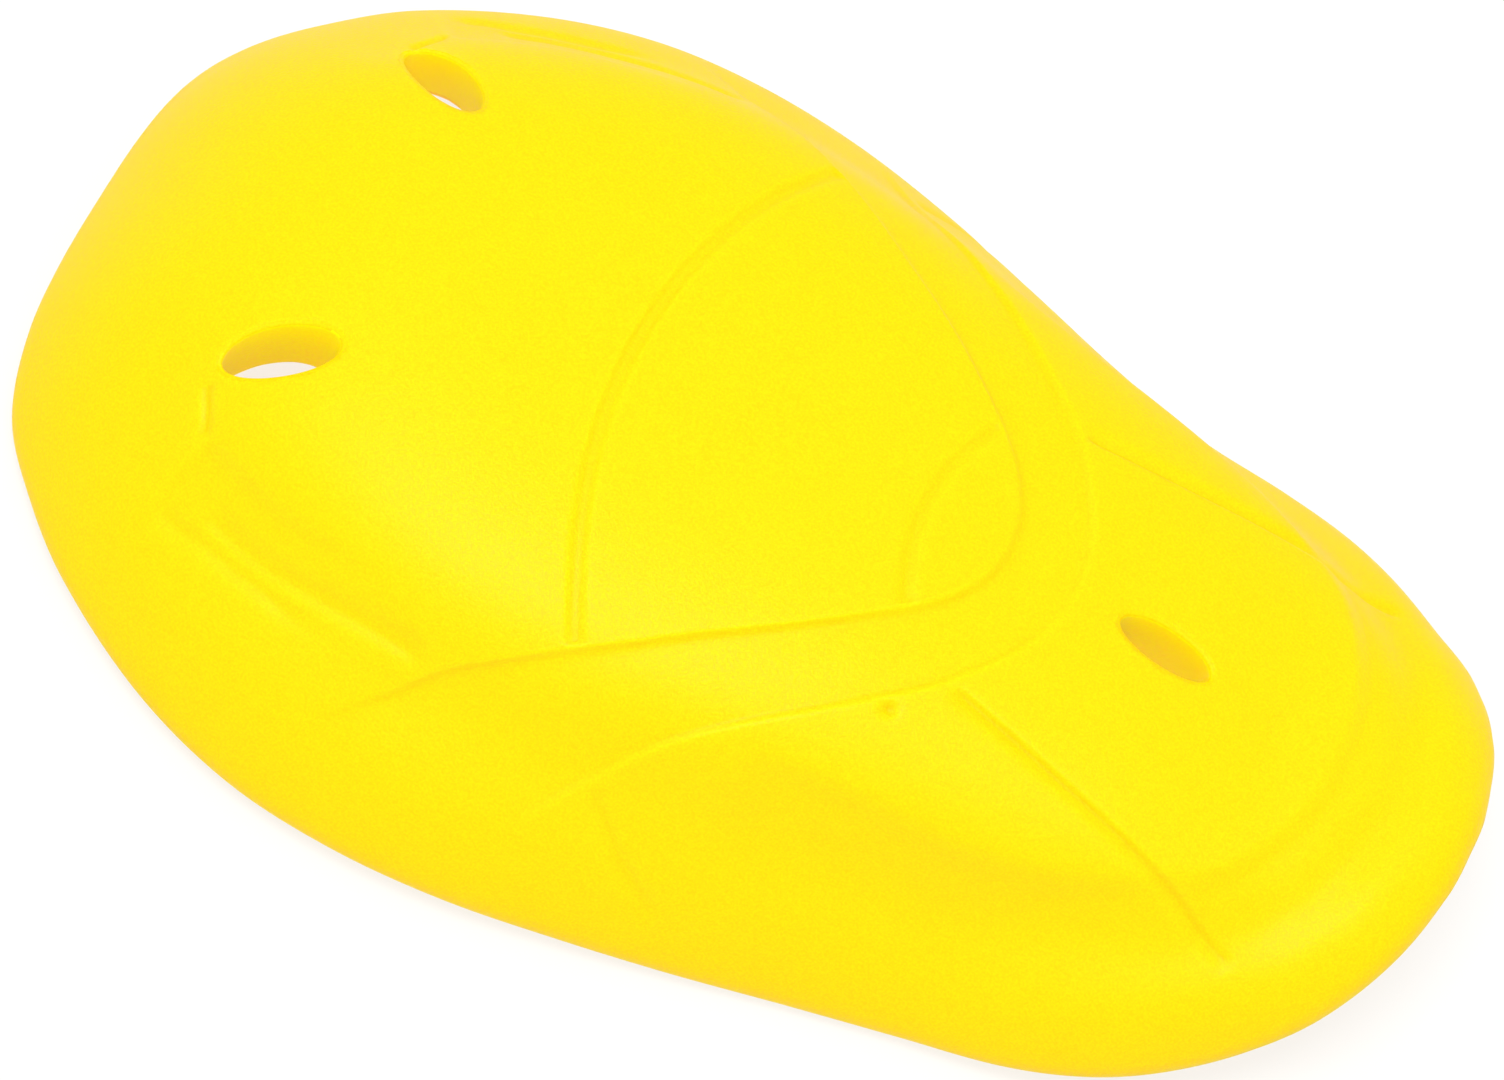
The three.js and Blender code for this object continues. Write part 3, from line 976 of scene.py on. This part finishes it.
@dataclass
class ShoulderPad:
    """The moulded pad, with its skins, round rim, relief and slots.

    Attributes:
        shape: The pad's form.
        relief: The fine relief of its outer skin.
        finish: The foam's finish.
        painted_light_wall_finish: A lighter copy of the foam for the slots' walls. This is painted light
            that brightens their shade.
        slots: The three slots.
        spokes: Number of points round the pad.
        outer_rings: Number of rings from the spine to the rim on the outer skin.
        inner_rings: Number of rings on the inner skin.
        rim_steps: Number of steps round the rim from the outer skin to the inner one.
        crowding: How much closer the rings lie on steep relief.
        fine_steps: Number of places on a spoke where the relief is read for that.
        blur_reach: How many of those places it is smoothed over, each way.
        blur_width: Width of that smoothing in places.
        blur_turn: How many spokes it is smoothed over, each way.
        weld: Distance in metres under which points are joined.
        sliver: Length in metres under which an edge is dropped.
        lip: Radius of a slot's lip at the outer skin, in mm.
        lip_bends: Angles at which the lip is cut, in degrees.
        plug_steps: Number of points round a slot.
        plug_flare: How much wider a slot's plug is outside the pad, as a share of its lip.
        plug_clear: How far the plug stands out of the pad, in mm.
        look_from: How far above and below the floor the skins are looked for from, in metres.
        wall_tilt: Upward part of a face's direction above which it is no slot wall.
        moved: How far the pad was moved to stand over the middle of the floor, in mm.
    """

    shape: PadShape
    relief: PadRelief
    finish: YellowFoam
    painted_light_wall_finish: YellowFoam
    slots: tuple[Slot, ...] = (
        Slot(-0.692, 0.4, turn=-31.0, length=15.0, width=7.2, lean=0.9),
        Slot(-0.688, -0.38, turn=29.0, length=15.0, width=7.2, lean=0.5),
        Slot(0.55, 0.0, turn=0.0, length=14.4, width=5.6, inner_lip=0.6),
    )
    spokes: int = 720
    outer_rings: int = 104
    inner_rings: int = 16
    rim_steps: int = 10
    crowding: float = 5.0
    fine_steps: int = 260
    blur_reach: int = 5
    blur_width: float = 2.2
    blur_turn: int = 3
    weld: float = 2e-6
    sliver: float = 1e-7
    lip: float = 0.8
    lip_bends: tuple[float, ...] = (10.0, 25.0, 45.0, 65.0, 90.0)
    plug_steps: int = 72
    plug_flare: float = 1.4
    plug_clear: float = 4.0
    look_from: float = 1.0
    wall_tilt: float = 0.5
    moved: float = field(init=False, default=0.0)

    def _shares(self, turn: np.ndarray) -> np.ndarray:
        """Shares of the outer rings on each spoke, closer together where the relief is steep.

        Args:
            turn: Places of the spokes round the pad.

        Returns:
            One row per ring and one column per spoke.
        """
        steps = self.fine_steps
        fine = np.linspace(0.0, 1.0, steps + 1)
        depth = np.zeros((steps + 1, len(turn)))
        for k, share in enumerate(fine):
            here = np.full(len(turn), share)
            plain = self.shape.outer(turn, here)
            depth[k] = self.relief.depth(plain[:, 0], plain[:, 1], here)
        steep = np.abs(np.diff(depth, axis=0)) * steps / self.shape.half_width
        blur = np.exp(-((np.arange(-self.blur_reach, self.blur_reach + 1) / self.blur_width) ** 2))
        blur /= blur.sum()
        steep = np.apply_along_axis(lambda column: np.convolve(column, blur, "same"), 0, steep)
        shifts = range(-self.blur_turn, self.blur_turn + 1)
        steep = np.mean([np.roll(steep, shift, axis=1) for shift in shifts], axis=0)
        pace = np.cumsum(1.0 + self.crowding * steep, axis=0)
        pace = np.vstack([np.zeros(len(turn)), pace]) / pace[-1]
        rings = np.linspace(0.0, 1.0, self.outer_rings + 1)
        return np.stack([np.interp(rings, pace[:, j], fine) for j in range(len(turn))], axis=1)

    def _loops(self) -> list[np.ndarray]:
        """Lays the points of the pad.

        Returns:
            Loops of points in mm, from the spine over the outer skin, round the rim and back underneath.
        """
        turn = np.arange(self.spokes) * (2 * self.shape.half_turn / self.spokes)
        loops = []
        for share in self._shares(turn):
            plain = self.shape.outer(turn, share)
            depth = self.relief.depth(plain[:, 0], plain[:, 1], share)
            loops.append(plain - self.shape.outward(turn, share) * depth[:, None])
        for k in range(1, self.rim_steps):
            loops.append(self.shape.rim(turn, math.pi * k / self.rim_steps))
        for k in range(self.inner_rings + 1):
            share = np.full(self.spokes, 1 - k / self.inner_rings)
            loops.append(self.shape.inner(turn, share))
        return loops

    def _mesh(self) -> bpy.types.Mesh:
        """The closed pad without its slots.

        Returns:
            The mesh, in metres, centred over the floor as the CAD pad is.
        """
        loops = np.array(self._loops())
        low = loops.reshape(-1, 3).min(axis=0)
        high = loops.reshape(-1, 3).max(axis=0)
        loops -= np.array([(low[0] + high[0]) / 2, 0.0, low[2]])
        self.moved = (low[0] + high[0]) / 2
        rings, count = loops.shape[:2]
        i, j = np.meshgrid(np.arange(rings - 1), np.arange(count), indexing="ij")
        k = (j + 1) % count
        quads = np.stack([i * count + j, i * count + k, (i + 1) * count + k, (i + 1) * count + j], axis=-1)
        mesh = bpy.data.meshes.new("pad_skin")
        mesh.from_pydata((loops.reshape(-1, 3) * MM).tolist(), [], quads.reshape(-1, 4).tolist())
        self._join_spine(mesh)
        return mesh

    def _join_spine(self, mesh: bpy.types.Mesh) -> None:
        """Joins the two sides of the spine, where the first and last loops lie on themselves.

        Args:
            mesh: The pad's mesh, which is changed.
        """
        work = bmesh.new()
        work.from_mesh(mesh)
        bmesh.ops.remove_doubles(work, verts=work.verts, dist=self.weld)
        bmesh.ops.dissolve_degenerate(work, edges=work.edges, dist=self.sliver)
        bmesh.ops.recalc_face_normals(work, faces=work.faces)
        work.to_mesh(mesh)
        work.free()

    def _skin_heights(self, tree: BVHTree, x: float, y: float) -> tuple[float, float]:
        """Heights of the outer and the inner skin over a point of the floor.

        Args:
            tree: The uncut pad.
            x: Place along the pad in metres.
            y: Place across it in metres.

        Returns:
            Both heights in metres.
        """
        top = tree.ray_cast(Vector((x, y, self.look_from)), Vector((0, 0, -1)))[0].z
        bottom = tree.ray_cast(Vector((x, y, -self.look_from)), Vector((0, 0, 1)))[0].z
        return top, bottom

    def _slot_cutter(self, slot: Slot, tree: BVHTree) -> bpy.types.Object:
        """A flared oval plug that cuts one slot, with a rounded lip at both skins.

        Args:
            slot: The slot.
            tree: The uncut pad.

        Returns:
            The cutter object.
        """
        steps = self.plug_steps
        verts = []
        for skin, lip in ((Skin.OUTER, self.lip), (Skin.INNER, slot.inner_lip)):
            levels = [(lip * self.plug_flare, -self.plug_clear)]
            for bend in self.lip_bends:
                angle = math.radians(bend)
                levels.append((lip * (1 - math.sin(angle)), lip * (1 - math.cos(angle))))
            for spread, down in levels if skin is Skin.OUTER else reversed(levels):
                for k in range(steps):
                    verts.append(self._slot_point(slot, 2 * math.pi * k / steps, spread, down, tree, skin))
        loops = len(verts) // steps
        faces = []
        for i in range(loops - 1):
            for j in range(steps):
                k = (j + 1) % steps
                faces.append((i * steps + j, (i + 1) * steps + j, (i + 1) * steps + k, i * steps + k))
        faces.append(tuple(range(steps)))
        faces.append(tuple(reversed(range((loops - 1) * steps, loops * steps))))
        mesh = bpy.data.meshes.new("slot_plug")
        mesh.from_pydata(verts, [], faces)
        plug = bpy.data.objects.new("slot_plug", mesh)
        bpy.context.scene.collection.objects.link(plug)
        return plug

    def _slot_point(
        self, slot: Slot, angle: float, spread: float, down: float, tree: BVHTree, skin: Skin
    ) -> tuple[float, float, float]:
        """One point of a slot's plug.

        Args:
            slot: The slot.
            angle: Place round the oval in radians.
            spread: How much wider than the slot, in mm.
            down: How far inside the skin, in mm.
            tree: The uncut pad.
            skin: The skin that the point is near.

        Returns:
            The point in metres.
        """
        turn = math.radians(slot.turn)
        a = (slot.length / 2 + spread) * math.cos(angle)
        b = (slot.width / 2 + spread) * math.sin(angle)
        x = slot.x * self.shape.half_length - self.moved + a * math.cos(turn) - b * math.sin(turn)
        y = slot.y * self.shape.half_width + a * math.sin(turn) + b * math.cos(turn)
        y += math.copysign(slot.lean, slot.y) if skin is Skin.INNER else 0.0
        top, bottom = self._skin_heights(tree, x * MM, y * MM)
        z = top - down * MM if skin is Skin.OUTER else bottom + down * MM
        return (x * MM, y * MM, z)

    def _cut_slots(self, pad: bpy.types.Object) -> None:
        """Cuts the slots through the pad.

        Args:
            pad: The uncut pad, which is changed.
        """
        tree = BVHTree.FromObject(pad, bpy.context.evaluated_depsgraph_get())
        plugs = [self._slot_cutter(slot, tree) for slot in self.slots]
        for plug in plugs:
            cut = pad.modifiers.new("slot", "BOOLEAN")
            cut.operation = "DIFFERENCE"
            cut.solver = "EXACT"
            cut.object = plug
        view = bpy.context.evaluated_depsgraph_get()
        cut_mesh = bpy.data.meshes.new_from_object(pad.evaluated_get(view))
        pad.modifiers.clear()
        pad.data = cut_mesh
        for plug in plugs:
            bpy.data.objects.remove(plug)

    def _is_slot_wall(self, polygon: bpy.types.MeshPolygon) -> bool:
        """Tells whether a face is part of the upright wall of a slot, which gets the lighter,
        painted-light copy of the foam.

        Args:
            polygon: The face.

        Returns:
            True on a slot's wall.
        """
        if abs(polygon.normal.z) > self.wall_tilt:
            return False
        for slot in self.slots:
            x = polygon.center.x / MM - slot.x * self.shape.half_length + self.moved
            y = polygon.center.y / MM - slot.y * self.shape.half_width
            turn = math.radians(slot.turn)
            a = (x * math.cos(turn) + y * math.sin(turn)) / (slot.length / 2 + self.lip)
            b = (y * math.cos(turn) - x * math.sin(turn)) / (slot.width / 2 + self.lip)
            if a * a + b * b < 1.0:
                return True
        return False

    def build(self) -> bpy.types.Object:
        """Makes the pad and puts it in the place of the CAD pad.

        Returns:
            The pad object.
        """
        mesh = self._mesh()
        pad = bpy.data.objects.new("foam_pad", mesh)
        bpy.context.scene.collection.objects.link(pad)
        bpy.context.view_layer.update()
        self._cut_slots(pad)
        pad.data.materials.clear()
        pad.data.materials.append(self.finish.make())
        # The second material is painted light: a lighter copy of the foam over the slot walls' shade.
        pad.data.materials.append(self.painted_light_wall_finish.make())
        for polygon in pad.data.polygons:
            polygon.use_smooth = True
            polygon.material_index = 1 if self._is_slot_wall(polygon) else 0
        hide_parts("shoulder_pad")
        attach(pad, "root")
        return pad


@dataclass
class Studio:
    """White floor and soft light.

    Attributes:
        floor_size: Side of the floor in metres.
        sky: Strength of the room's even light.
        key_place: Where the lamp hangs, in metres.
        key_aim: What it looks at, in metres.
        key_size: Its side in metres.
        key_power: Its power in watts.
    """

    floor_size: float = 6.0
    sky: float = 0.75
    key_place: tuple[float, float, float] = (-0.1, -0.36, 1.34)
    key_aim: tuple[float, float, float] = (0.0, 0.0, 0.03)
    key_size: float = 0.5
    key_power: float = 13.6

    def floor(self) -> bpy.types.Object:
        """Lays the floor.

        Returns:
            The floor object.
        """
        half = self.floor_size / 2
        mesh = bpy.data.meshes.new("floor")
        corners = [(-half, -half, 0), (half, -half, 0), (half, half, 0), (-half, half, 0)]
        mesh.from_pydata(corners, [], [(0, 1, 2, 3)])
        floor = bpy.data.objects.new("floor", mesh)
        bpy.context.scene.collection.objects.link(floor)
        floor.data.materials.append(LightTable().make())
        return floor

    def world(self) -> None:
        """Fills the room with even white light."""
        world = bpy.data.worlds.new("soft_room")
        world.use_nodes = True
        back = world.node_tree.nodes["Background"]
        back.inputs["Color"].default_value = (1.0, 1.0, 1.0, 1.0)
        back.inputs["Strength"].default_value = self.sky
        bpy.context.scene.world = world

    def key(self) -> bpy.types.Object:
        """Hangs a soft square lamp that looks at the pad.

        Returns:
            The lamp object.
        """
        data = bpy.data.lights.new("key", "AREA")
        data.shape = "SQUARE"
        data.size = self.key_size
        data.energy = self.key_power
        lamp = bpy.data.objects.new("key", data)
        lamp.location = self.key_place
        look = Vector(self.key_aim) - Vector(self.key_place)
        lamp.rotation_euler = look.to_track_quat("-Z", "Y").to_euler()
        bpy.context.scene.collection.objects.link(lamp)
        return lamp

    def build(self) -> None:
        """Sets up floor, room light and lamp."""
        self.floor()
        self.world()
        self.key()
        bpy.context.scene.view_settings.view_transform = "Standard"
        bpy.context.scene.view_settings.look = "None"


@dataclass
class PhotoCamera:
    """The camera at the photograph's angle, turned about its own axis as the photograph is.

    Attributes:
        azimuth: Angle round the pad in degrees.
        elevation: Angle above the floor in degrees.
        roll: Turn about its own axis in degrees.
        distance: Distance from the aim in metres.
        aim: What it looks at, in metres.
        sensor: Width of the sensor in mm.
        lens: Focal length in mm.
        sight: How far it sees, in metres.
    """

    azimuth: float = 1.4
    elevation: float = 60.0
    roll: float = 27.2
    distance: float = 1.0098
    aim: tuple[float, float, float] = (-0.0022, 0.0, 0.013)
    sensor: float = 36.0
    lens: float = 172.34
    sight: float = 20.0

    def build(self) -> bpy.types.Object:
        """Places the camera.

        Returns:
            The camera object.
        """
        a, e, r = (math.radians(v) for v in (self.azimuth, self.elevation, self.roll))
        back = Vector((math.sin(a) * math.cos(e), -math.cos(a) * math.cos(e), math.sin(e)))
        right = Vector((math.cos(a), math.sin(a), 0.0))
        up = back.cross(right)
        turned_right = right * math.cos(r) + up * math.sin(r)
        turned_up = up * math.cos(r) - right * math.sin(r)
        data = bpy.data.cameras.new("photo_camera")
        data.sensor_fit = "HORIZONTAL"
        data.sensor_width = self.sensor
        data.lens = self.lens
        data.clip_end = self.sight
        camera = bpy.data.objects.new("photo_camera", data)
        axes = Matrix((turned_right, turned_up, back)).transposed().to_4x4()
        camera.matrix_world = Matrix.Translation(Vector(self.aim) + back * self.distance) @ axes
        bpy.context.scene.collection.objects.link(camera)
        bpy.context.scene.camera = camera
        return camera


def main() -> None:
    """Builds the camera, the studio and the pad."""
    logging.basicConfig(level=logging.INFO, format="%(name)s: %(message)s")
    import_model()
    PhotoCamera().build()
    log.info("camera placed")
    Studio().build()
    log.info("studio built")
    shape = PadShape()
    # The slot walls get a lighter copy of the foam. This is painted light: it brightens their shade in
    # place of light shining through the foam into the slots.
    painted_light_walls = YellowFoam("yellow_foam_walls_painted_light", deep=(1.0, 0.76, 0.0, 1.0), bright=(1.0, 0.82, 0.0, 1.0))
    pad = ShoulderPad(shape, PadRelief(shape), YellowFoam(), painted_light_walls).build()
    log.info("pad built with %d faces", len(pad.data.polygons))
    bpy.context.view_layer.update()


if __name__ == "__main__":
    main()
